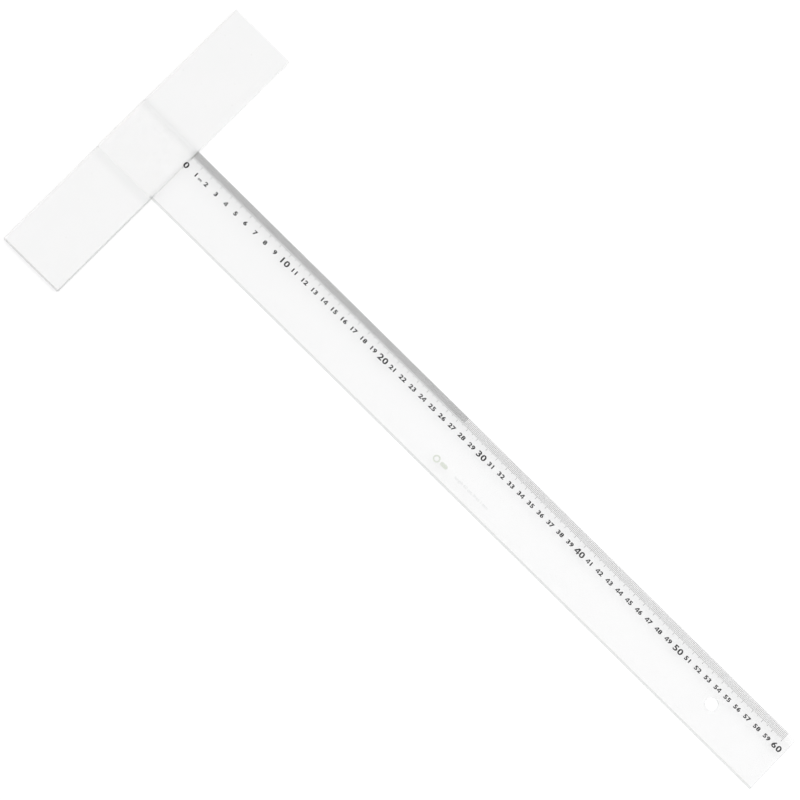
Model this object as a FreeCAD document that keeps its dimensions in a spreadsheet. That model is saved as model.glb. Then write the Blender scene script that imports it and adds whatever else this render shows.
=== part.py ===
import FreeCAD, Part
import math
import os

import Sketcher
from FreeCAD import Vector

# A drafting T square: a clear acrylic blade with a bevelled, graduated edge, cemented across
# the top of an opal acrylic head. Millimetres. The origin is the centre of the head's working
# face; +X runs out along the blade, +Y points to the graduated edge and +Z is up.

doc = FreeCAD.newDocument("TSquare")

# Driving sizes, each set by itself.
driving = [
    ("headLength", 240.0, "head, along its working face"),
    ("headWidth", 55.0, "head, across, which is also the blade's lap on it"),
    ("headThick", 5.0, "opal sheet"),
    ("headBreak", 1.0, "chamfer on every edge of the head"),
    ("bladeReach", 607.5, "blade, from the working face to its free end"),
    ("bladeWidth", 49.0, "blade, across"),
    ("bladeThick", 3.0, "clear sheet"),
    ("plainBevel", 1.5, "chamfer along the top of the blade's plain edge"),
    ("bladeBreak", 0.25, "chamfer under that edge and round both ends of the blade"),
    ("bevelWidth", 6.0, "bevel over the graduated edge, measured across the blade"),
    ("edgeThick", 1.3, "what the bevel leaves at the graduated edge"),
    ("holeBore", 10.0, "hanging hole, diameter"),
    ("holeFromEnd", 62.5, "hanging hole's centre from the blade's free end"),
    ("filmThick", 0.1, "cement between blade and head"),
    ("filmInset", 2.5, "cement kept back from the edges of the lap"),
    ("endMargin", 7.5, "least plain length past the last graduation"),
    ("cmPitch", 10.0, "one centimetre of the scale"),
    ("inkThick", 0.03, "printed ink"),
    ("inkEdgeGap", 0.2, "graduations kept back from the ruling edge"),
    ("lineWidth", 0.22, "graduation, across"),
    ("cmLine", 8.0, "centimetre graduation, along"),
    ("halfLine", 7.0, "half centimetre graduation, along"),
    ("mmLine", 6.1, "millimetre graduation, along"),
    ("fineLine", 5.0, "half millimetre graduation, along"),
    ("fineReach", 275.0, "length of the scale that is divided to half millimetres"),
]

# Sizes worked out from those above.
derived = [
    ("mmPitch", "=cmPitch / 10", "one millimetre of the scale"),
    ("halfPitch", "=cmPitch / 2", "half a centimetre of the scale"),
    ("scaleSteps", "=floor((bladeReach - endMargin) / cmPitch)", "whole centimetres that fit"),
    ("fineGroups", "=min(floor(fineReach / halfPitch); scaleSteps * 2)", "half centimetres in it"),
    ("bladeFull", "=bladeReach + headWidth", "blade, end to end"),
    ("bladeFloor", "=headThick / 2 + filmThick", "height of the blade's underside"),
    ("filmAlong", "=headWidth - 2 * filmInset", "cement, along the blade"),
    ("filmAcross", "=bladeWidth - 2 * filmInset", "cement, across the blade"),
    ("inkFloor", "=bladeFloor - inkThick", "height of the ink's lower face"),
    ("lineStart", "=bladeWidth / 2 - inkEdgeGap", "outer end of every graduation, in Y"),
]

sheet = doc.addObject("Spreadsheet::Sheet", "Sizes")
for row, (alias, value, note) in enumerate(driving + derived, start=1):
    sheet.set(f"A{row}", str(value))
    sheet.set(f"B{row}", note)
    sheet.setAlias(f"A{row}", alias)
doc.recompute()

pieces = []


def size(alias):
    return float(sheet.get(alias))


def origin_feature(body, role):
    return next(feature for feature in body.Origin.OriginFeatures if feature.Role == role)


def new_piece(label, x, y, z):
    """A body named for its piece, whose corner stands where these words of the sheet put it."""
    body = doc.addObject("PartDesign::Body", label)
    body.Label = label
    body.AllowCompound = True
    for axis, words in (("x", x), ("y", y), ("z", z)):
        body.setExpression(f"Placement.Base.{axis}", words)
    pieces.append(body)
    return body


def new_sketch(body, name, role):
    sketch = body.newObject("Sketcher::SketchObject", name)
    sketch.AttachmentSupport = [(origin_feature(body, role), "")]
    sketch.MapMode = "FlatFace"
    return sketch


def dimension(sketch, name, kind, places, start, words):
    """A named dimension of the sketch that begins at start and follows these words of the sheet."""
    index = sketch.addConstraint(Sketcher.Constraint(kind, *places, start))
    sketch.renameConstraint(index, name)
    sketch.setExpression(f"Constraints.{name}", words)


def outline(sketch, corners):
    """A closed outline through these corners, with its level and upright sides kept so."""
    first = sketch.GeometryCount
    count = len(corners)
    for i, corner in enumerate(corners):
        ahead = corners[(i + 1) % count]
        sketch.addGeometry(Part.LineSegment(Vector(*corner), Vector(*ahead)), False)
    for i, corner in enumerate(corners):
        ahead = corners[(i + 1) % count]
        side = first + i
        sketch.addConstraint(Sketcher.Constraint("Coincident", side, 2, first + (i + 1) % count, 1))
        if corner[1] == ahead[1]:
            sketch.addConstraint(Sketcher.Constraint("Horizontal", side))
        elif corner[0] == ahead[0]:
            sketch.addConstraint(Sketcher.Constraint("Vertical", side))
    return first


def rectangle(sketch, wide, high, steps=0, pitch=""):
    """A rectangle on the sketch's X axis, its corner at the origin or some steps of pitch along."""
    left = steps * size(pitch) if steps else 0.0
    right = left + size(wide)
    top = size(high)
    first = outline(sketch, [(left, 0.0), (right, 0.0), (right, top), (left, top)])
    if steps:
        sketch.addConstraint(Sketcher.Constraint("PointOnObject", first, 1, -1))
        along = f"{steps} * Sizes.{pitch}"
        dimension(sketch, f"along{first}", "DistanceX", (-1, 1, first, 1), left, along)
    else:
        sketch.addConstraint(Sketcher.Constraint("Coincident", first, 1, -1, 1))
    dimension(sketch, f"wide{first}", "DistanceX", (first, 1, first, 2), size(wide), f"Sizes.{wide}")
    dimension(sketch, f"high{first}", "DistanceY", (first + 1, 1, first + 1, 2), top, f"Sizes.{high}")


def pad(body, sketch, name, thick):
    feature = body.newObject("PartDesign::Pad", name)
    feature.Profile = sketch
    feature.Refine = False
    feature.setExpression("Length", f"Sizes.{thick}")
    return feature


def chamfer(body, base, name, width, wanted):
    """Breaks those edges of the base feature that wanted() picks."""
    edges = [f"Edge{i}" for i, edge in enumerate(base.Shape.Edges, start=1) if wanted(edge)]
    feature = body.newObject("PartDesign::Chamfer", name)
    feature.Base = (base, edges)
    feature.setExpression("Size", f"Sizes.{width}")
    return feature


def repeat(body, feature, name, pitch, times):
    """Repeats a feature along the blade."""
    pattern = body.newObject("PartDesign::LinearPattern", name)
    pattern.Originals = [feature]
    pattern.Direction = (origin_feature(body, "X_Axis"), [""])
    pattern.Mode = "Spacing"
    pattern.Refine = False
    pattern.setExpression("Offset", f"Sizes.{pitch}")
    pattern.setExpression("Occurrences", times)
    body.Tip = pattern
    return pattern


# Head: one opal plate. Its long side at X = 0 is the working face.
head = new_piece("head", "-Sizes.headWidth", "-Sizes.headLength / 2", "-Sizes.headThick / 2")
headOutline = new_sketch(head, "head_outline", "XY_Plane")
rectangle(headOutline, "headWidth", "headLength")
headPlate = pad(head, headOutline, "head_plate", "headThick")
doc.recompute()
chamfer(head, headPlate, "head_broken_edges", "headBreak", lambda edge: True)

# Cement: a thin film under the lap, kept back from its edges.
cement = new_piece(
    "cement_film",
    "-Sizes.headWidth + Sizes.filmInset",
    "-Sizes.bladeWidth / 2 + Sizes.filmInset",
    "Sizes.headThick / 2",
)
cementOutline = new_sketch(cement, "cement_outline", "XY_Plane")
rectangle(cementOutline, "filmAlong", "filmAcross")
pad(cement, cementOutline, "cement_spread", "filmThick")

# Blade: its section drawn across it, run out along +X. The bevel is on top, at the +Y edge.
blade = new_piece("blade", "-Sizes.headWidth", "-Sizes.bladeWidth / 2", "Sizes.bladeFloor")
section = new_sketch(blade, "blade_section", "YZ_Plane")
wide = size("bladeWidth")
thick = size("bladeThick")
flat = wide - size("bevelWidth")
edge = size("edgeThick")
outline(section, [(0.0, 0.0), (wide, 0.0), (wide, edge), (flat, thick), (0.0, thick)])
section.addConstraint(Sketcher.Constraint("Coincident", 0, 1, -1, 1))
dimension(section, "width", "DistanceX", (0, 1, 0, 2), wide, "Sizes.bladeWidth")
dimension(section, "edge", "DistanceY", (1, 1, 1, 2), edge, "Sizes.edgeThick")
dimension(section, "bevel", "DistanceX", (2, 2, 2, 1), wide - flat, "Sizes.bevelWidth")
dimension(section, "thick", "DistanceY", (4, 2, 4, 1), thick, "Sizes.bladeThick")
strip = pad(blade, section, "blade_strip", "bladeFull")
doc.recompute()


def runs_along(edge):
    return edge.BoundBox.XLength > size("bladeThick")


def on_top_of_plain_edge(edge):
    middle = edge.BoundBox.Center
    return runs_along(edge) and middle.y < size("plainBevel") / 2 and middle.z > size("bladeThick") / 2


def under_it_or_at_an_end(edge):
    middle = edge.BoundBox.Center
    below = middle.y < size("plainBevel") / 2 and middle.z < size("bladeBreak")
    return below or not runs_along(edge)


plainEdge = chamfer(blade, strip, "plain_edge_bevelled", "plainBevel", on_top_of_plain_edge)
doc.recompute()
chamfer(blade, plainEdge, "other_edges_broken", "bladeBreak", under_it_or_at_an_end)
doc.recompute()
solidBlade = blade.Shape.Volume
holeCircle = new_sketch(blade, "hole_circle", "XY_Plane")
centre = Vector(size("bladeFull") - size("holeFromEnd"), wide / 2)
holeCircle.addGeometry(Part.Circle(centre, Vector(0, 0, 1), size("holeBore") / 2), False)
dimension(
    holeCircle, "along", "DistanceX", (-1, 1, 0, 3), centre.x, "Sizes.bladeFull - Sizes.holeFromEnd"
)
dimension(holeCircle, "across", "DistanceY", (-1, 1, 0, 3), centre.y, "Sizes.bladeWidth / 2")
dimension(holeCircle, "bore", "Diameter", (0,), size("holeBore"), "Sizes.holeBore")
hole = blade.newObject("PartDesign::Pocket", "hanging_hole")
hole.Profile = holeCircle
hole.Type = "ThroughAll"
hole.SideType = "Symmetric"
doc.recompute()

# Scale: printed on the blade's underside, read through it, and centred on whole millimetres.
# Each graduation starts at the ruling edge, so a piece stands one line length in from there.
# The columns are label, length, first graduation, lines in a group, pitch of groups, groups.
scale = [
    ("cm_graduations", "cmLine", "0", 1, "cmPitch", "Sizes.scaleSteps + 1"),
    ("half_cm_graduations", "halfLine", "Sizes.halfPitch", 1, "cmPitch", "Sizes.scaleSteps"),
    ("mm_graduations", "mmLine", "Sizes.mmPitch", 4, "halfPitch", "Sizes.scaleSteps * 2"),
    ("half_mm_graduations", "fineLine", "Sizes.mmPitch / 2", 5, "halfPitch", "Sizes.fineGroups"),
]
for label, length, start, lines, pitch, groups in scale:
    body = new_piece(
        label,
        f"{start} - Sizes.lineWidth / 2",
        f"Sizes.lineStart - Sizes.{length}",
        "Sizes.inkFloor",
    )
    group = new_sketch(body, f"{label}_group", "XY_Plane")
    for line in range(lines):
        rectangle(group, "lineWidth", length, line, "mmPitch")
    printed = pad(body, group, f"{label}_print", "inkThick")
    repeat(body, printed, f"{label}_along_blade", pitch, groups)
doc.recompute()

# Checks: every object computed, every piece sound, and the hole the size it should be.
for thing in doc.Objects:
    if "Invalid" in thing.State or "Error" in thing.State:
        raise RuntimeError(f"{thing.Name} failed: {thing.State}")
for piece in pieces:
    if piece.Shape.isNull() or not piece.Shape.isValid():
        raise RuntimeError(f"{piece.Label} has no sound shape")
drilled = solidBlade - blade.Shape.Volume
expected = math.pi * (size("holeBore") / 2) ** 2 * size("bladeThick")
if abs(drilled - expected) > expected / 1000:
    raise RuntimeError(f"the hanging hole took {drilled:.2f} mm3, not {expected:.2f}")

os.makedirs("parts", exist_ok=True)
for piece in pieces:
    piece.Shape.exportStep(f"parts/{piece.Label}.step")
    print(f"{piece.Label}: {len(piece.Shape.Solids)} solids, {piece.Shape.Volume:.2f} mm3")
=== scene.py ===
import math

import bmesh
import bpy
from mathutils import Matrix, Vector


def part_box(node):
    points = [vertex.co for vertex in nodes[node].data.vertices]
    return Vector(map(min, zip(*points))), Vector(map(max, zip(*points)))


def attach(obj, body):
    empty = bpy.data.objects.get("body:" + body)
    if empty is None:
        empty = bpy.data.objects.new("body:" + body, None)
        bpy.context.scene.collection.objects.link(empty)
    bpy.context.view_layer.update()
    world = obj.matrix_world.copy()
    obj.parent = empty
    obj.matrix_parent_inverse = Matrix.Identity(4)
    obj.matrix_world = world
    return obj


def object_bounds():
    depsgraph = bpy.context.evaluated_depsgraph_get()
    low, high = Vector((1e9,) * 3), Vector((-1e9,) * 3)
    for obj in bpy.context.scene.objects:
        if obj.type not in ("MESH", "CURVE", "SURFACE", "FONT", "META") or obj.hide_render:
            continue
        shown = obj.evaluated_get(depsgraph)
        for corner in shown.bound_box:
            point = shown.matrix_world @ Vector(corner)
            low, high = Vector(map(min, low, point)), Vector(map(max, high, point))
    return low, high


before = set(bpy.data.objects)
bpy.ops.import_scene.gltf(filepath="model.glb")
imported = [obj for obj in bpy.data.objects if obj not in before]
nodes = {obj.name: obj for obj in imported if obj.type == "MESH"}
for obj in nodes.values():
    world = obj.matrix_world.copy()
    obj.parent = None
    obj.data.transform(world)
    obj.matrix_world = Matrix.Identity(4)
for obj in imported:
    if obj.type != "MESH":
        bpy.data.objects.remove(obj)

scene = bpy.context.scene
cadLow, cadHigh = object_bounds()
mm = 0.001
print("frame loaded:", ", ".join(sorted(nodes)))

# Camera: above the blade and a little to its plain side, with the blade running down to the right.
cameraView = {
    "aimAlong": 230.1 * mm,  # the point looked at, on top of the blade
    "aimAcross": -1.7 * mm,
    "distance": 2676 * mm,
    "turn": -44.326,  # degrees, about the upright, then the level axes
    "leanSide": 5.49,
    "leanFront": -5.73,
    "fieldAcross": 578.5 * mm,  # what the picture spans at that distance
    "sensor": 36.0,
}


def makeCamera(v):
    data = bpy.data.cameras.new("mainCamera")
    data.sensor_width = v["sensor"]
    data.lens = v["sensor"] * v["distance"] / v["fieldAcross"]
    data.clip_end = 20.0
    turn = Matrix.Rotation(math.radians(v["leanFront"]), 4, "X")
    turn = turn @ Matrix.Rotation(math.radians(v["leanSide"]), 4, "Y")
    turn = turn @ Matrix.Rotation(math.radians(v["turn"]), 4, "Z")
    aim = Matrix.Translation((v["aimAlong"], v["aimAcross"], cadHigh.z))
    camera = bpy.data.objects.new("mainCamera", data)
    scene.collection.objects.link(camera)
    camera.matrix_world = aim @ turn.inverted() @ Matrix.Translation((0, 0, v["distance"]))
    scene.camera = camera


# Light: a bright white room with one dim side, and one soft low lamp from past the head.
studio = {
    "ceiling": 1.06,
    "horizon": 0.95,
    "horizonTop": 0.0,  # upward shares of a direction, between which the ceiling fades in
    "ceilingFoot": 0.6,
    "dimDepth": 0.25,  # taken away towards the blade's plain side
    "dimAim": (0.1, -1.0, 0.2),
    "dimFrom": 0.15,  # cosines between which it fades in
    "dimTo": 0.85,
    "patch": 0.58,  # added overhead, towards the blade's free end
    "patchAim": (0.42, 0.05, 0.9),
    "patchFrom": 0.86,  # cosines between which it fades in
    "patchTo": 0.93,
    "glow": 2.1,  # added low on the scale side, which the bevel mirrors
    "glowAim": (0.5, 0.6, 0.65),
    "glowFrom": 0.84,
    "glowTo": 0.95,
    "backdrop": 0.98,  # what the camera itself sees past the floor
    "lampAim": (-0.9, 0.5, 0.8),
    "lampStrength": 0.7,
    "lampSpread": 30.0,  # degrees across
    "floorSpan": 12.0,
    "floorTone": (0.35, 0.35, 0.35),
    "floorGlow": 0.66,  # the floor is a sheet lit softly from below
}


def makeMaterial(name):
    material = bpy.data.materials.new(name)
    material.use_nodes = True
    material.node_tree.nodes.clear()
    return material


def addNode(tree, kind, values=None, **settings):
    node = tree.nodes.new("ShaderNode" + kind)
    for key, value in settings.items():
        setattr(node, key, value)
    for key, value in (values or {}).items():
        node.inputs[key].default_value = value
    return node


def joinSockets(tree, *pairs):
    for start, end in pairs:
        tree.links.new(start, end)


def addMath(tree, operation, first, second=None, third=None, clamp=False):
    node = addNode(tree, "Math", operation=operation, use_clamp=clamp)
    for socket, value in zip(node.inputs, (first, second, third)):
        if value is None:
            continue
        if isinstance(value, (int, float)):
            socket.default_value = value
        else:
            tree.links.new(value, socket)
    return node.outputs[0]


def addRange(tree, value, low, high, start=0.0, end=1.0, smooth=True):
    node = addNode(tree, "MapRange", interpolation_type="SMOOTHSTEP" if smooth else "LINEAR")
    for key, number in (("From Min", low), ("From Max", high), ("To Min", start), ("To Max", end)):
        if isinstance(number, (int, float)):
            node.inputs[key].default_value = number
        else:
            tree.links.new(number, node.inputs[key])
    tree.links.new(value, node.inputs["Value"])
    return node.outputs["Result"]


def makeWorld(v):
    world = bpy.data.worlds.new("studioSurround")
    world.use_nodes = True
    scene.world = world
    tree = world.node_tree
    tree.nodes.clear()
    output = addNode(tree, "OutputWorld")
    light = addNode(tree, "Background")
    place = addNode(tree, "TexCoord")
    split = addNode(tree, "SeparateXYZ")
    joinSockets(tree, (place.outputs["Generated"], split.inputs[0]))
    room = addRange(tree, split.outputs[2], v["horizonTop"], v["ceilingFoot"], v["horizon"], v["ceiling"])
    for part, amount in (("patch", v["patch"]), ("glow", v["glow"]), ("dim", -v["dimDepth"])):
        towards = addNode(tree, "VectorMath", operation="DOT_PRODUCT")
        towards.inputs[1].default_value = Vector(v[part + "Aim"]).normalized()
        joinSockets(tree, (place.outputs["Generated"], towards.inputs[0]))
        lobe = addRange(tree, towards.outputs["Value"], v[part + "From"], v[part + "To"], 0.0, amount)
        room = addMath(tree, "ADD", room, lobe)
    seen = addNode(tree, "LightPath").outputs["Is Camera Ray"]
    strength = addNode(tree, "Mix", {"B": v["backdrop"]})
    joinSockets(
        tree,
        (seen, strength.inputs[0]),
        (room, strength.inputs["A"]),
        (strength.outputs[0], light.inputs["Strength"]),
        (light.outputs[0], output.inputs["Surface"]),
    )


def makeLamp(v):
    data = bpy.data.lights.new("softLamp", "SUN")
    data.energy = v["lampStrength"]
    data.angle = math.radians(v["lampSpread"])
    lamp = bpy.data.objects.new("softLamp", data)
    lamp.rotation_mode = "QUATERNION"
    lamp.rotation_quaternion = Vector(v["lampAim"]).to_track_quat("Z", "Y")
    scene.collection.objects.link(lamp)


def makeFloor(v):
    mesh = bpy.data.meshes.new("floor")
    build = bmesh.new()
    bmesh.ops.create_grid(build, x_segments=8, y_segments=8, size=v["floorSpan"] / 2)
    build.to_mesh(mesh)
    build.free()
    floor = bpy.data.objects.new("floor", mesh)
    floor.location = (0, 0, cadLow.z)
    scene.collection.objects.link(floor)
    material = makeMaterial("paperWhite")
    tree = material.node_tree
    output = addNode(tree, "OutputMaterial")
    shade = addNode(tree, "BsdfPrincipled", {"Base Color": (*v["floorTone"], 1), "Roughness": 0.9})
    shade.inputs["Specular IOR Level"].default_value = 0.0
    shade.inputs["Emission Color"].default_value = (1, 1, 1, 1)
    shade.inputs["Emission Strength"].default_value = v["floorGlow"]
    joinSockets(tree, (shade.outputs[0], output.inputs["Surface"]))
    mesh.materials.append(material)


scene.view_settings.view_transform = "Standard"
makeCamera(cameraView)
makeWorld(studio)
makeLamp(studio)
makeFloor(studio)
print("camera, light and floor ready")


# Node groups that several of the materials use. Lengths are in metres of the part itself.
def makeGroup(name, inputs, outputs):
    group = bpy.data.node_groups.new(name, "ShaderNodeTree")
    for label, kind, start in inputs:
        socket = group.interface.new_socket(label, in_out="INPUT", socket_type="NodeSocket" + kind)
        if start is not None:
            socket.default_value = start
    for label, kind in outputs:
        group.interface.new_socket(label, in_out="OUTPUT", socket_type="NodeSocket" + kind)
    return group, group.nodes.new("NodeGroupInput"), group.nodes.new("NodeGroupOutput")


def makeScratchGroup():
    # Hairlines in three directions, broken up so that none runs for ever.
    group, enter, leave = makeGroup(
        "hairScratches",
        [("Place", "Vector", None), ("Fineness", "Float", 900.0), ("Amount", "Float", 0.5)],
        [("Scratches", "Float")],
    )
    found = None
    for angle, stretch in ((0.12, 0.02), (1.35, 0.03), (2.4, 0.025)):
        turn = addNode(group, "VectorRotate", rotation_type="Z_AXIS")
        turn.inputs["Angle"].default_value = angle
        squeeze = addNode(group, "VectorMath", operation="MULTIPLY")
        squeeze.inputs[1].default_value = (stretch, 1.0, 1.0)
        lines = addNode(group, "TexNoise", {"Detail": 1.0, "Roughness": 0.4})
        breaks = addNode(group, "TexNoise", {"Scale": 45.0, "Detail": 1.0})
        joinSockets(
            group,
            (enter.outputs["Place"], turn.inputs["Vector"]),
            (turn.outputs[0], squeeze.inputs[0]),
            (squeeze.outputs[0], lines.inputs["Vector"]),
            (enter.outputs["Fineness"], lines.inputs["Scale"]),
            (turn.outputs[0], breaks.inputs["Vector"]),
        )
        thin = addRange(group, lines.outputs[0], 0.66, 0.74)
        patch = addRange(group, breaks.outputs[0], 0.5, 0.66)
        one = addMath(group, "MULTIPLY", thin, patch)
        found = one if found is None else addMath(group, "MAXIMUM", found, one)
    total = addMath(group, "MULTIPLY", found, enter.outputs["Amount"], clamp=True)
    joinSockets(group, (total, leave.inputs["Scratches"]))
    return group


def makeSmudgeGroup():
    # Cloudy patches of handling, from fingertip size up to a palm's.
    group, enter, leave = makeGroup(
        "handSmudges",
        [("Place", "Vector", None), ("Scale", "Float", 22.0), ("Amount", "Float", 0.5)],
        [("Smudges", "Float")],
    )
    broad = addNode(group, "TexNoise", {"Detail": 3.0, "Roughness": 0.55, "Distortion": 0.6})
    fine = addNode(group, "TexNoise", {"Detail": 4.0, "Roughness": 0.65})
    finer = addMath(group, "MULTIPLY", enter.outputs["Scale"], 7.0)
    joinSockets(
        group,
        (enter.outputs["Place"], broad.inputs["Vector"]),
        (enter.outputs["Place"], fine.inputs["Vector"]),
        (enter.outputs["Scale"], broad.inputs["Scale"]),
        (finer, fine.inputs["Scale"]),
    )
    cloud = addRange(group, broad.outputs[0], 0.48, 0.72)
    grain = addRange(group, fine.outputs[0], 0.3, 0.75, 0.4, 1.0)
    both = addMath(group, "MULTIPLY", cloud, grain)
    total = addMath(group, "MULTIPLY", both, enter.outputs["Amount"], clamp=True)
    joinSockets(group, (total, leave.inputs["Smudges"]))
    return group


def makeDustGroup():
    # Scattered specks: small cells, of which only a few hold one.
    group, enter, leave = makeGroup(
        "dustSpecks",
        [("Place", "Vector", None), ("Scale", "Float", 260.0), ("Amount", "Float", 0.5)],
        [("Specks", "Float")],
    )
    cells = addNode(group, "TexVoronoi", feature="F1")
    chosen = addNode(group, "SeparateColor")
    joinSockets(
        group,
        (enter.outputs["Place"], cells.inputs["Vector"]),
        (enter.outputs["Scale"], cells.inputs["Scale"]),
        (cells.outputs["Color"], chosen.inputs[0]),
    )
    dot = addRange(group, cells.outputs["Distance"], 0.05, 0.16, 1.0, 0.0)
    few = addMath(group, "GREATER_THAN", chosen.outputs[0], 0.86)
    sized = addMath(group, "MULTIPLY", dot, few)
    faint = addMath(group, "MULTIPLY", sized, chosen.outputs[1])
    total = addMath(group, "MULTIPLY", faint, enter.outputs["Amount"], clamp=True)
    joinSockets(group, (total, leave.inputs["Specks"]))
    return group


def makeEdgeGroup():
    # How near a point of a box-shaped piece is to one of its edges: the middle of the three
    # distances to its faces. Worn in patches.
    group, enter, leave = makeGroup(
        "edgeRub",
        [
            ("Place", "Vector", None),
            ("Centre", "Vector", (0, 0, 0)),
            ("Half Size", "Vector", (1, 1, 1)),
            ("Reach", "Float", 0.001),
            ("Amount", "Float", 0.5),
        ],
        [("Rub", "Float")],
    )
    shift = addNode(group, "VectorMath", operation="SUBTRACT")
    fold = addNode(group, "VectorMath", operation="ABSOLUTE")
    inside = addNode(group, "VectorMath", operation="SUBTRACT")
    split = addNode(group, "SeparateXYZ")
    joinSockets(
        group,
        (enter.outputs["Place"], shift.inputs[0]),
        (enter.outputs["Centre"], shift.inputs[1]),
        (shift.outputs[0], fold.inputs[0]),
        (enter.outputs["Half Size"], inside.inputs[0]),
        (fold.outputs[0], inside.inputs[1]),
        (inside.outputs[0], split.inputs[0]),
    )
    x, y, z = split.outputs
    largest = addMath(group, "MAXIMUM", addMath(group, "MAXIMUM", x, y), z)
    smallest = addMath(group, "MINIMUM", addMath(group, "MINIMUM", x, y), z)
    total = addMath(group, "ADD", addMath(group, "ADD", x, y), z)
    middle = addMath(group, "SUBTRACT", addMath(group, "SUBTRACT", total, largest), smallest)
    near = addRange(group, middle, 0.0, enter.outputs["Reach"], 1.0, 0.0)
    chips = addNode(group, "TexNoise", {"Scale": 420.0, "Detail": 4.0, "Roughness": 0.6})
    joinSockets(group, (enter.outputs["Place"], chips.inputs["Vector"]))
    patchy = addRange(group, chips.outputs[0], 0.42, 0.62)
    worn = addMath(group, "MULTIPLY", near, patchy)
    scaled = addMath(group, "MULTIPLY", worn, enter.outputs["Amount"], clamp=True)
    joinSockets(group, (scaled, leave.inputs["Rub"]))
    return group


def makeSawGroup():
    # Upright marks left by the saw or cutter on walls and steep chamfers.
    group, enter, leave = makeGroup(
        "cutMarks",
        [("Place", "Vector", None), ("Pitch", "Float", 1800.0)],
        [("On Edge", "Float"), ("Marks", "Float")],
    )
    facing = addNode(group, "NewGeometry")
    split = addNode(group, "SeparateXYZ")
    squeeze = addNode(group, "VectorMath", operation="MULTIPLY")
    squeeze.inputs[1].default_value = (1.0, 1.0, 0.05)
    strokes = addNode(group, "TexNoise", {"Detail": 2.0, "Roughness": 0.7})
    joinSockets(
        group,
        (facing.outputs["True Normal"], split.inputs[0]),
        (enter.outputs["Place"], squeeze.inputs[0]),
        (squeeze.outputs[0], strokes.inputs["Vector"]),
        (enter.outputs["Pitch"], strokes.inputs["Scale"]),
    )
    upright = addMath(group, "ABSOLUTE", split.outputs[2])
    onEdge = addRange(group, upright, 0.72, 0.85, 1.0, 0.0)
    marks = addMath(group, "MULTIPLY", strokes.outputs[0], onEdge)
    joinSockets(group, (onEdge, leave.inputs["On Edge"]), (marks, leave.inputs["Marks"]))
    return group


scratchGroup = makeScratchGroup()
smudgeGroup = makeSmudgeGroup()
dustGroup = makeDustGroup()
edgeGroup = makeEdgeGroup()
sawGroup = makeSawGroup()


def useGroup(tree, group, place, **values):
    node = addNode(tree, "Group", node_tree=group)
    joinSockets(tree, (place, node.inputs["Place"]))
    for key, value in values.items():
        node.inputs[key].default_value = value
    return node


def boxValues(name):
    low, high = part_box(name)
    return {"Centre": (low + high) / 2, "Half Size": (high - low) / 2}


def addMix(tree, factor, first, second):
    # Colour between two colours or sockets.
    node = addNode(tree, "Mix", data_type="RGBA")
    for socket, value in ((node.inputs[0], factor), (node.inputs[6], first), (node.inputs[7], second)):
        if isinstance(value, bpy.types.NodeSocket):
            tree.links.new(value, socket)
        else:
            socket.default_value = value if isinstance(value, (int, float)) else (*value, 1)
    return node.outputs[2]


def addBump(tree, height, distance, strength):
    node = addNode(tree, "Bump", {"Distance": distance, "Strength": strength})
    tree.links.new(height, node.inputs["Height"])
    return node.outputs[0]


# Head: milky sheet, polished, rubbed along its edges by years against a board; its tone also holds painted
# shadow along the blade's edges, painted shade on the working face below the blade and painted light under
# the blade.
headLook = {
    "tone": (0.777, 0.776, 0.776),
    "toneCloud": (0.769, 0.770, 0.769),
    "underBladeLightTone": (0.788, 0.783, 0.783),  # painted light: lighter under the blade, making up for light lost through the blade and cement
    "rubTone": (0.775, 0.775, 0.77),
    "dustTone": (0.55, 0.54, 0.52),
    "bladeShadowTone": (0.64, 0.645, 0.645),  # painted shadow cast on the head by the blade's two edges
    "edgeShadeReach": 7.0 * mm,
    "plainShadowShare": 0.29,  # how much of it along the plain edge,
    "plainShadowOut": 2.8 * mm,  # and how far outside that edge it is darkest
    "scaleShadowShare": 0.38,  # and the same for the scale edge, where it is darkest inside
    "scaleShadowIn": 1.75 * mm,
    "workingFaceShadeTone": (0.60, 0.605, 0.60),  # painted shade on the working face below the blade
    "milk": 0.35,  # share of the light that wanders in the sheet,
    "depth": 1.6 * mm,  # and how far
    "gloss": 0.12,
    "smudgeDull": 0.22,  # added to the gloss value where it is smudged, cut or rubbed
    "cutDull": 0.22,
    "rubDull": 0.3,
    "scratchHeight": -0.6,  # shares of the relief
    "speckHeight": 0.8,
    "cutHeight": 0.7,
    "rubHeight": -0.8,
    "relief": 0.03 * mm,
    "rubReach": 1.1 * mm,
    "cloudScale": 30.0,
    "softEdge": 0.15 * mm,
}


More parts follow.
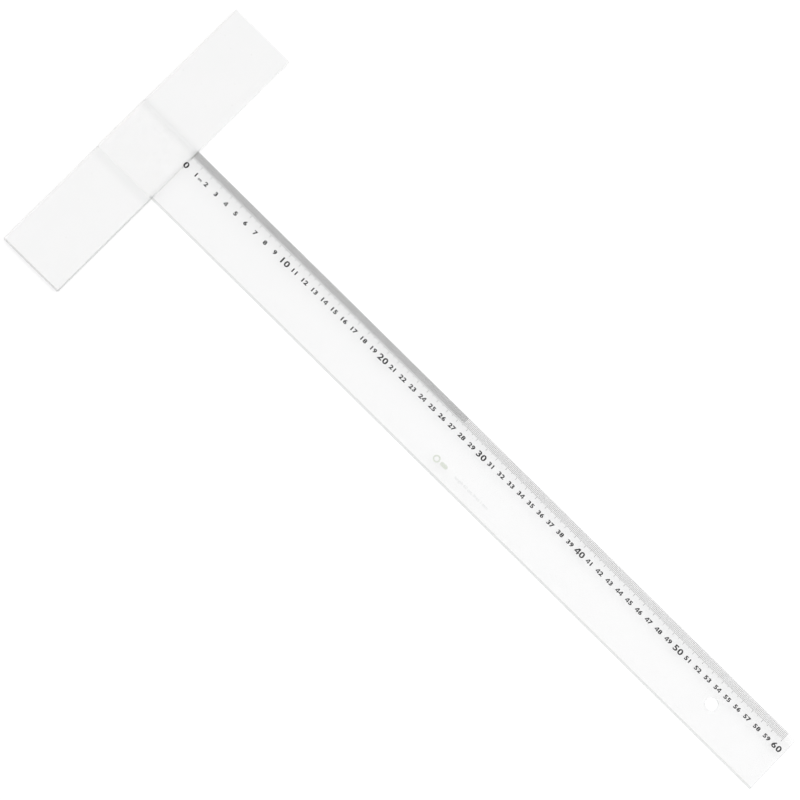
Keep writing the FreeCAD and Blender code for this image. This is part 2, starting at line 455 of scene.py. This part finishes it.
def makeOpal(v):
    material = makeMaterial("opalAcrylic")
    tree = material.node_tree
    output = addNode(tree, "OutputMaterial")
    shade = addNode(tree, "BsdfPrincipled", {"IOR": 1.49})
    shade.inputs["Subsurface Weight"].default_value = v["milk"]
    shade.inputs["Subsurface Radius"].default_value = (1.0, 0.98, 0.95)
    shade.inputs["Subsurface Scale"].default_value = v["depth"]
    place = addNode(tree, "TexCoord").outputs["Object"]
    scratches = useGroup(tree, scratchGroup, place, Amount=0.8).outputs[0]
    smudges = useGroup(tree, smudgeGroup, place, Scale=24.0, Amount=0.7).outputs[0]
    specks = useGroup(tree, dustGroup, place, Scale=300.0, Amount=0.5).outputs[0]
    rub = useGroup(tree, edgeGroup, place, Reach=v["rubReach"], Amount=0.7, **boxValues("head"))
    saw = useGroup(tree, sawGroup, place, Pitch=1500.0)
    cloud = addNode(tree, "TexNoise", {"Scale": v["cloudScale"], "Detail": 3.0})
    joinSockets(tree, (place, cloud.inputs["Vector"]))
    tone = addMix(tree, addRange(tree, cloud.outputs[0], 0.35, 0.7), v["tone"], v["toneCloud"])
    tone = addMix(tree, rub.outputs["Rub"], tone, v["rubTone"])
    tone = addMix(tree, specks, tone, v["dustTone"])
    split = addNode(tree, "SeparateXYZ")
    facing = addNode(tree, "SeparateXYZ")
    joinSockets(
        tree,
        (place, split.inputs[0]),
        (addNode(tree, "NewGeometry").outputs["True Normal"], facing.inputs[0]),
    )
    across = split.outputs[1]
    bladeLow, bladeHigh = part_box("blade")
    # Painted light: the head is made lighter where the blade covers it.
    covered = addMath(tree, "LESS_THAN", addMath(tree, "ABSOLUTE", across), bladeHigh.y)
    tone = addMix(tree, covered, tone, v["underBladeLightTone"])
    # Painted shadow of the blade's two edges on the head: soft, darkest just off each edge.
    for edge, amount in (
        (bladeLow.y - v["plainShadowOut"], v["plainShadowShare"]),
        (bladeHigh.y - v["scaleShadowIn"], v["scaleShadowShare"]),
    ):
        away = addMath(tree, "ABSOLUTE", addMath(tree, "SUBTRACT", across, edge))
        tone = addMix(tree, addRange(tree, away, 0.0, v["edgeShadeReach"], amount, 0.0), tone, v["bladeShadowTone"])
    # Painted shade on the head's working face, on its part below the blade.
    below = addRange(tree, across, bladeLow.y, bladeLow.y + v["edgeShadeReach"], 1.0, 0.0)
    onWorkingFace = addRange(tree, facing.outputs[0], 0.3, 0.6)
    tone = addMix(tree, addMath(tree, "MULTIPLY", below, onWorkingFace), tone, v["workingFaceShadeTone"])
    rough = addMath(tree, "MULTIPLY_ADD", smudges, v["smudgeDull"], v["gloss"])
    rough = addMath(tree, "MULTIPLY_ADD", saw.outputs["On Edge"], v["cutDull"], rough)
    rough = addMath(tree, "MULTIPLY_ADD", rub.outputs["Rub"], v["rubDull"], rough, clamp=True)
    height = addMath(tree, "MULTIPLY", specks, v["speckHeight"])
    height = addMath(tree, "MULTIPLY_ADD", scratches, v["scratchHeight"], height)
    height = addMath(tree, "MULTIPLY_ADD", saw.outputs["Marks"], v["cutHeight"], height)
    height = addMath(tree, "MULTIPLY_ADD", rub.outputs["Rub"], v["rubHeight"], height)
    joinSockets(
        tree,
        (tone, shade.inputs["Base Color"]),
        (rough, shade.inputs["Roughness"]),
        (addBump(tree, height, v["relief"], 0.5), shade.inputs["Normal"]),
        (shade.outputs[0], output.inputs["Surface"]),
    )
    return material


# Blade: clear sheet with a faint cool tint that deepens with the path through it, and frosted walls; its
# colour also holds painted shade on the plain side and painted light over the head.
bladeLook = {
    "tint": (0.891, 0.887, 0.889),
    "plainSideShadeTone": (0.65, 0.66, 0.655),  # painted shade on the faces turned to its plain side, its edge and chamfer
    "speckTone": (0.75, 0.75, 0.73),
    "rubTone": (0.9, 0.92, 0.915),
    "depthTint": (0.72, 0.86, 0.84),
    "depthDensity": 5.0,  # per metre
    "wallShade": (0.80, 0.81, 0.81),  # light let through by one face: on edge,
    "bevelShade": (0.69, 0.695, 0.695),  # on the bevel's slope,
    "flatShade": (0.985, 0.987, 0.986),  # and lying flat
    "lapFade": 4.0 * mm,  # over the head the cement takes these losses away, within this
    "gloss": 0.01,
    "smudgeDull": 0.03,  # added to the gloss value where it is smudged, cut, rubbed or dusty
    "cutDull": 0.12,
    "rubDull": 0.3,
    "speckDull": 0.4,
    "scratchHeight": -0.5,  # shares of the relief
    "speckHeight": 0.6,
    "cutHeight": 0.6,
    "relief": 0.01 * mm,
    "frost": 0.45,  # least share of light that the cut walls scatter instead of passing,
    "frostMarks": 0.3,  # and what the saw's marks add to it
    "frostTone": (0.84, 0.86, 0.855),
    "trapped": (0.60, 0.64, 0.63),  # what light comes to that never leaves the sheet,
    "trappedAfter": 4,  # and after how many turns in it
    "rubReach": 0.7 * mm,
    "softEdge": 0.1 * mm,
}


def makeClear(v):
    material = makeMaterial("clearAcrylic")
    material.cycles.emission_sampling = "NONE"
    tree = material.node_tree
    output = addNode(tree, "OutputMaterial")
    shade = addNode(tree, "BsdfPrincipled", {"IOR": 1.49, "Transmission Weight": 1.0})
    place = addNode(tree, "TexCoord").outputs["Object"]
    scratches = useGroup(tree, scratchGroup, place, Fineness=1100.0, Amount=0.7).outputs[0]
    smudges = useGroup(tree, smudgeGroup, place, Scale=20.0, Amount=0.6).outputs[0]
    specks = useGroup(tree, dustGroup, place, Scale=240.0, Amount=0.5).outputs[0]
    rub = useGroup(tree, edgeGroup, place, Reach=v["rubReach"], Amount=0.6, **boxValues("blade"))
    saw = useGroup(tree, sawGroup, place, Pitch=1200.0)
    along = addNode(tree, "SeparateXYZ")
    joinSockets(tree, (place, along.inputs[0]))
    overHead = addRange(tree, along.outputs[0], -v["lapFade"], 0.0, 1.0, 0.0)
    split = addNode(tree, "SeparateXYZ")
    joinSockets(tree, (addNode(tree, "NewGeometry").outputs["True Normal"], split.inputs[0]))
    # Painted shade: faces turned to the plain side are darker, except over the head.
    toPlain = addRange(tree, split.outputs[1], -0.6, -0.4, 1.0, 0.0)
    tone = addMix(tree, toPlain, v["tint"], v["plainSideShadeTone"])
    # Painted light: over the head the blade's colour goes to white, keeping the lap as light as the bare
    # head.
    tone = addMix(tree, overHead, tone, (1, 1, 1))
    tone = addMix(tree, specks, tone, v["speckTone"])
    tone = addMix(tree, rub.outputs["Rub"], tone, v["rubTone"])
    rough = addMath(tree, "MULTIPLY_ADD", smudges, v["smudgeDull"], v["gloss"])
    rough = addMath(tree, "MULTIPLY_ADD", saw.outputs["On Edge"], v["cutDull"], rough)
    rough = addMath(tree, "MULTIPLY_ADD", rub.outputs["Rub"], v["rubDull"], rough)
    rough = addMath(tree, "MULTIPLY_ADD", specks, v["speckDull"], rough, clamp=True)
    height = addMath(tree, "MULTIPLY", specks, v["speckHeight"])
    height = addMath(tree, "MULTIPLY_ADD", scratches, v["scratchHeight"], height)
    height = addMath(tree, "MULTIPLY_ADD", saw.outputs["Marks"], v["cutHeight"], height)
    upright = addMath(tree, "ABSOLUTE", split.outputs[2])
    letThrough = addMix(tree, addRange(tree, upright, 0.3, 0.9), v["wallShade"], v["bevelShade"])
    letThrough = addMix(tree, addRange(tree, upright, 0.97, 0.995), letThrough, v["flatShade"])
    letThrough = addMix(tree, overHead, letThrough, (1, 1, 1))
    frost = addMath(tree, "MULTIPLY_ADD", saw.outputs["Marks"], v["frostMarks"], v["frost"])
    frost = addMath(tree, "MULTIPLY", frost, addRange(tree, upright, 0.2, 0.4, 1.0, 0.0), clamp=True)
    milky = addNode(tree, "BsdfDiffuse", {"Color": (*v["frostTone"], 1)})
    glowing = addNode(tree, "BsdfTranslucent", {"Color": (*v["frostTone"], 1)})
    cut = addNode(tree, "MixShader", {"Fac": 0.5})
    surface = addNode(tree, "MixShader")
    through = addNode(tree, "BsdfTransparent")
    path = addNode(tree, "LightPath")
    indirect = addMath(tree, "MAXIMUM", path.outputs["Is Shadow Ray"], path.outputs["Is Diffuse Ray"])
    mix = addNode(tree, "MixShader")
    trapped = addNode(tree, "Emission", {"Color": (*v["trapped"], 1)})
    longPath = addMath(tree, "GREATER_THAN", path.outputs["Ray Depth"], v["trappedAfter"])
    ended = addNode(tree, "MixShader")
    depth = addNode(tree, "VolumeAbsorption", {"Color": (*v["depthTint"], 1), "Density": v["depthDensity"]})
    joinSockets(
        tree,
        (tone, shade.inputs["Base Color"]),
        (rough, shade.inputs["Roughness"]),
        (addBump(tree, height, v["relief"], 0.4), shade.inputs["Normal"]),
        (letThrough, through.inputs["Color"]),
        (indirect, mix.inputs[0]),
        (milky.outputs[0], cut.inputs[1]),
        (glowing.outputs[0], cut.inputs[2]),
        (frost, surface.inputs[0]),
        (shade.outputs[0], surface.inputs[1]),
        (cut.outputs[0], surface.inputs[2]),
        (longPath, ended.inputs[0]),
        (surface.outputs[0], ended.inputs[1]),
        (trapped.outputs[0], ended.inputs[2]),
        (ended.outputs[0], mix.inputs[1]),
        (through.outputs[0], mix.inputs[2]),
        (mix.outputs[0], output.inputs["Surface"]),
        (depth.outputs[0], output.inputs["Volume"]),
    )
    return material


# Cement: nearly clear, with a mottle where it ran and a few pinhole bubbles.
cementLook = {
    "tone": (0.95, 0.95, 0.95),
    "cloudiness": 0.01,  # how far it covers what is under it,
    "mottleCover": 0.015,  # and what the mottle and the bubbles add to that
    "bubbleCover": 0.06,
    "mottleScale": 180.0,
    "bubbleScale": 420.0,
    "gloss": 0.2,
    "mottleDull": 0.4,
    "relief": 0.02 * mm,
}


def makeCement(v):
    material = makeMaterial("setCement")
    tree = material.node_tree
    output = addNode(tree, "OutputMaterial")
    shade = addNode(tree, "BsdfPrincipled", {"IOR": 1.49, "Base Color": (*v["tone"], 1)})
    place = addNode(tree, "TexCoord").outputs["Object"]
    bubbles = useGroup(tree, dustGroup, place, Scale=v["bubbleScale"], Amount=1.0).outputs[0]
    mottle = useGroup(tree, smudgeGroup, place, Scale=v["mottleScale"], Amount=1.0).outputs[0]
    cover = addMath(tree, "MULTIPLY_ADD", mottle, v["mottleCover"], v["cloudiness"])
    cover = addMath(tree, "MULTIPLY_ADD", bubbles, v["bubbleCover"], cover, clamp=True)
    rough = addMath(tree, "MULTIPLY_ADD", mottle, v["mottleDull"], v["gloss"], clamp=True)
    joinSockets(
        tree,
        (rough, shade.inputs["Roughness"]),
        (cover, shade.inputs["Alpha"]),
        (addBump(tree, mottle, v["relief"], 0.3), shade.inputs["Normal"]),
        (shade.outputs[0], output.inputs["Surface"]),
    )
    return material


# Ink: screen printed, dull, a little thin in places.
inkLook = {
    "tone": (0.005, 0.005, 0.006),
    "thinTone": (0.03, 0.03, 0.033),
    "grain": 2600.0,
    "gloss": 0.45,
    "thinDull": 0.3,
    "relief": 0.005 * mm,
}
badgeInkLook = {**inkLook, "tone": (0.66, 0.69, 0.62), "thinTone": (0.72, 0.75, 0.69)}
paleInkLook = {**inkLook, "tone": (0.66, 0.665, 0.665), "thinTone": (0.74, 0.745, 0.745)}


def makeInk(name, v):
    material = makeMaterial(name)
    tree = material.node_tree
    output = addNode(tree, "OutputMaterial")
    shade = addNode(tree, "BsdfPrincipled", {"IOR": 1.5})
    place = addNode(tree, "TexCoord").outputs["Object"]
    grain = addNode(tree, "TexNoise", {"Scale": v["grain"], "Detail": 3.0, "Roughness": 0.7})
    joinSockets(tree, (place, grain.inputs["Vector"]))
    thin = addRange(tree, grain.outputs[0], 0.45, 0.75)
    tone = addMix(tree, thin, v["tone"], v["thinTone"])
    rough = addMath(tree, "MULTIPLY_ADD", thin, v["thinDull"], v["gloss"], clamp=True)
    joinSockets(
        tree,
        (tone, shade.inputs["Base Color"]),
        (rough, shade.inputs["Roughness"]),
        (addBump(tree, grain.outputs[0], v["relief"], 0.4), shade.inputs["Normal"]),
        (shade.outputs[0], output.inputs["Surface"]),
    )
    return material


def finishNode(name, material, softEdge=None):
    # Carries over a CAD node: its material, and its crisp edges just softened.
    piece = nodes[name]
    piece.data.materials.clear()
    piece.data.materials.append(material)
    if softEdge:
        weld = piece.modifiers.new("weldCorners", "WELD")
        weld.merge_threshold = 0.001 * mm
        soft = piece.modifiers.new("softEdges", "BEVEL")
        soft.width = softEdge
        soft.segments = 2
        soft.limit_method = "ANGLE"
        soft.angle_limit = math.radians(20)
        soft.harden_normals = True


inkBlack = makeInk("scaleInk", inkLook)
inkGreen = makeInk("badgeInk", badgeInkLook)
inkPale = makeInk("paleInk", paleInkLook)
finishNode("head", makeOpal(headLook), headLook["softEdge"])
finishNode("blade", makeClear(bladeLook), bladeLook["softEdge"])
finishNode("cement_film", makeCement(cementLook))
for name in ("cm_graduations", "half_cm_graduations", "mm_graduations", "half_mm_graduations"):
    finishNode(name, inkBlack)
print("CAD pieces finished")

# Print on the blade's underside: a numeral at each centimetre line, the unit, a plain badge and a note.
printSizes = {
    "lineToNumeral": 5.0 * mm,  # from a line's inner end to the numerals' centre
    "pastLine": 0.5 * mm,  # along the blade, from a line to its numeral's centre
    "unitHeight": 3.35 * mm,
    "tenHeight": 4.7 * mm,
    "markHeight": 2.2 * mm,
    "markAfter": 4.4 * mm,  # the unit's centre, past the first numeral
    "figureHeight": 0.7,  # of a plain figure, as a share of its letter size
    "unitWeight": 0.04,  # added round each outline, in the same share
    "tenWeight": 0.028,
    "noteWeight": 0.0,
    "stretch": 1.3,  # wider than the plain letters
    "figurePitch": 0.95,  # from one figure of a number to the next, as a share of its height
    "curveSteps": 3,  # more steps, or more weight, and the outlines cross themselves
    "badgeAlong": 278.8 * mm,  # the badge's ring, from the working face
    "badgeAcross": -13.1 * mm,
    "badgeOuter": 2.9 * mm,
    "badgeInner": 1.7 * mm,
    "badgeBar": (4.0 * mm, 10.6 * mm, 3.0 * mm),  # where its bar starts and ends, and its height
    "badgeSides": 40,  # flats round the ring,
    "barSides": 12,  # and round each end of the bar
    "noteAlong": 314.0 * mm,
    "noteHeight": 2.3 * mm,
}

# The figure 4, closed, in shares of its height.
fourShape = {"wide": 0.70, "post": 0.44, "bar": 0.20, "weight": 0.17, "slant": 0.38, "slantWeight": 0.22}


def curveMesh(curve):
    # A filled flat curve, as a mesh.
    holder = bpy.data.objects.new("outline", curve)
    scene.collection.objects.link(holder)
    bpy.context.view_layer.update()
    mesh = bpy.data.meshes.new_from_object(holder.evaluated_get(bpy.context.evaluated_depsgraph_get()))
    bpy.data.objects.remove(holder)
    bpy.data.curves.remove(curve)
    return mesh


def outlineMesh(outlines):
    # Closed outlines, filled: the first is the outer one, and the rest are holes in it.
    curve = bpy.data.curves.new("outline", "CURVE")
    curve.dimensions = "2D"
    curve.fill_mode = "BOTH"
    for points in outlines:
        spline = curve.splines.new("POLY")
        spline.points.add(len(points) - 1)
        for point, (x, y) in zip(spline.points, points):
            point.co = (x, y, 0, 1)
        spline.use_cyclic_u = True
    return curveMesh(curve)


def fourMesh(v):
    left, right = v["post"], v["post"] + v["weight"]
    foot, top = v["bar"], v["bar"] + v["weight"]
    outer = [(0, foot), (left, foot), (left, 0), (right, 0), (right, foot), (v["wide"], foot)]
    outer += [(v["wide"], top), (right, top), (right, 1), (v["slant"], 1), (0, top)]
    rise = (1 - top) / v["slant"]
    start = v["slantWeight"]
    return outlineMesh([outer, [(start, top), (left, top), (left, top + (left - start) * rise)]])


def wordMesh(words, weight, v):
    # Plain letters whose figures are one unit high.
    if words == "4":
        mesh = fourMesh(fourShape)
        scale, foot = 1.0, 0.0
    else:
        curve = bpy.data.curves.new("letters", "FONT")
        curve.body = words
        curve.offset = weight
        curve.resolution_u = v["curveSteps"]
        mesh = curveMesh(curve)
        scale, foot = 1 / (v["figureHeight"] + 2 * weight), -weight
    middle = (min(p.co.x for p in mesh.vertices) + max(p.co.x for p in mesh.vertices)) / 2
    for point in mesh.vertices:
        point.co = ((point.co.x - middle) * scale, (point.co.y - foot) * scale - 0.5, 0)
    return mesh


def printMesh(build, mesh, scale, stretch, centre, layer):
    # Sets a flat mesh down as a layer of ink between two heights.
    fresh = bmesh.new()
    fresh.from_mesh(mesh)
    for point in fresh.verts:
        point.co = (centre[0] + point.co.x * scale * stretch, centre[1] + point.co.y * scale, layer[0])
    bmesh.ops.remove_doubles(fresh, verts=fresh.verts, dist=0.0005 * mm)
    raised = bmesh.ops.extrude_face_region(fresh, geom=fresh.faces[:])
    for item in raised["geom"]:
        if isinstance(item, bmesh.types.BMVert):
            item.co.z = layer[1]
    bmesh.ops.recalc_face_normals(fresh, faces=fresh.faces)
    part = bpy.data.meshes.new("print")
    fresh.to_mesh(part)
    fresh.free()
    build.from_mesh(part)
    bpy.data.meshes.remove(part)


def addPiece(name, build, material):
    mesh = bpy.data.meshes.new(name)
    build.to_mesh(mesh)
    build.free()
    mesh.materials.append(material)
    piece = bpy.data.objects.new(name, mesh)
    scene.collection.objects.link(piece)
    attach(piece, "root")


def makeNumerals(v):
    low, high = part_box("cm_graduations")
    layer = (low.z, high.z)
    centimetre = 10 * mm
    steps = round((high.x - low.x) / centimetre)
    zeroX = (low.x + high.x - steps * centimetre) / 2 + v["pastLine"]
    row = low.y - v["lineToNumeral"]
    units, tens, mark = bmesh.new(), bmesh.new(), bmesh.new()
    unitFigures = {figure: wordMesh(figure, v["unitWeight"], v) for figure in "0123456789"}
    tenFigures = {figure: wordMesh(figure, v["tenWeight"], v) for figure in "0123456789"}
    for number in range(steps + 1):
        build, figures, height = units, unitFigures, v["unitHeight"]
        if number % 10 == 0:
            build, figures, height = tens, tenFigures, v["tenHeight"]
        words = str(number)
        for place, figure in enumerate(words):
            along = (place - (len(words) - 1) / 2) * v["figurePitch"] * height
            spot = (zeroX + number * centimetre + along, row)
            printMesh(build, figures[figure], height, v["stretch"], spot, layer)
    drop = (v["unitHeight"] - v["markHeight"]) / 2
    spot = (zeroX + centimetre + v["markAfter"], row - drop)
    printMesh(mark, wordMesh("cm", v["tenWeight"], v), v["markHeight"], 1.0, spot, layer)
    addPiece("centimetre_numerals", units, inkBlack)
    addPiece("ten_centimetre_numerals", tens, inkBlack)
    addPiece("unit_mark", mark, inkBlack)
    return steps


def makeBadge(v, length):
    # A plain ring and bar, and the scale's length beside it, both in pale ink.
    low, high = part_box("cm_graduations")
    layer = (low.z, high.z)
    turns = [2 * math.pi * side / v["badgeSides"] for side in range(v["badgeSides"])]
    radii = (v["badgeOuter"], v["badgeInner"])
    rings = [[(math.cos(t) * r, math.sin(t) * r) for t in turns] for r in radii]
    badge, note = bmesh.new(), bmesh.new()
    centre = (v["badgeAlong"], v["badgeAcross"])
    printMesh(badge, outlineMesh(rings), 1.0, 1.0, centre, layer)
    start, end, height = v["badgeBar"]
    half = height / 2
    arc = [math.pi * (side / v["barSides"] - 0.5) for side in range(v["barSides"] + 1)]
    bar = [(end - half + math.cos(t) * half, math.sin(t) * half) for t in arc]
    bar += [(start + half - math.cos(t) * half, -math.sin(t) * half) for t in arc]
    printMesh(badge, outlineMesh([bar]), 1.0, 1.0, centre, layer)
    spot = (v["noteAlong"], v["badgeAcross"])
    words = wordMesh(f"length {length} cm, lines 1 mm", v["noteWeight"], v)
    printMesh(note, words, v["noteHeight"], 1.0, spot, layer)
    addPiece("plain_badge", badge, inkGreen)
    addPiece("length_note", note, inkPale)


numeralCount = makeNumerals(printSizes) + 1
makeBadge(printSizes, numeralCount - 1)
print("numerals printed:", numeralCount)
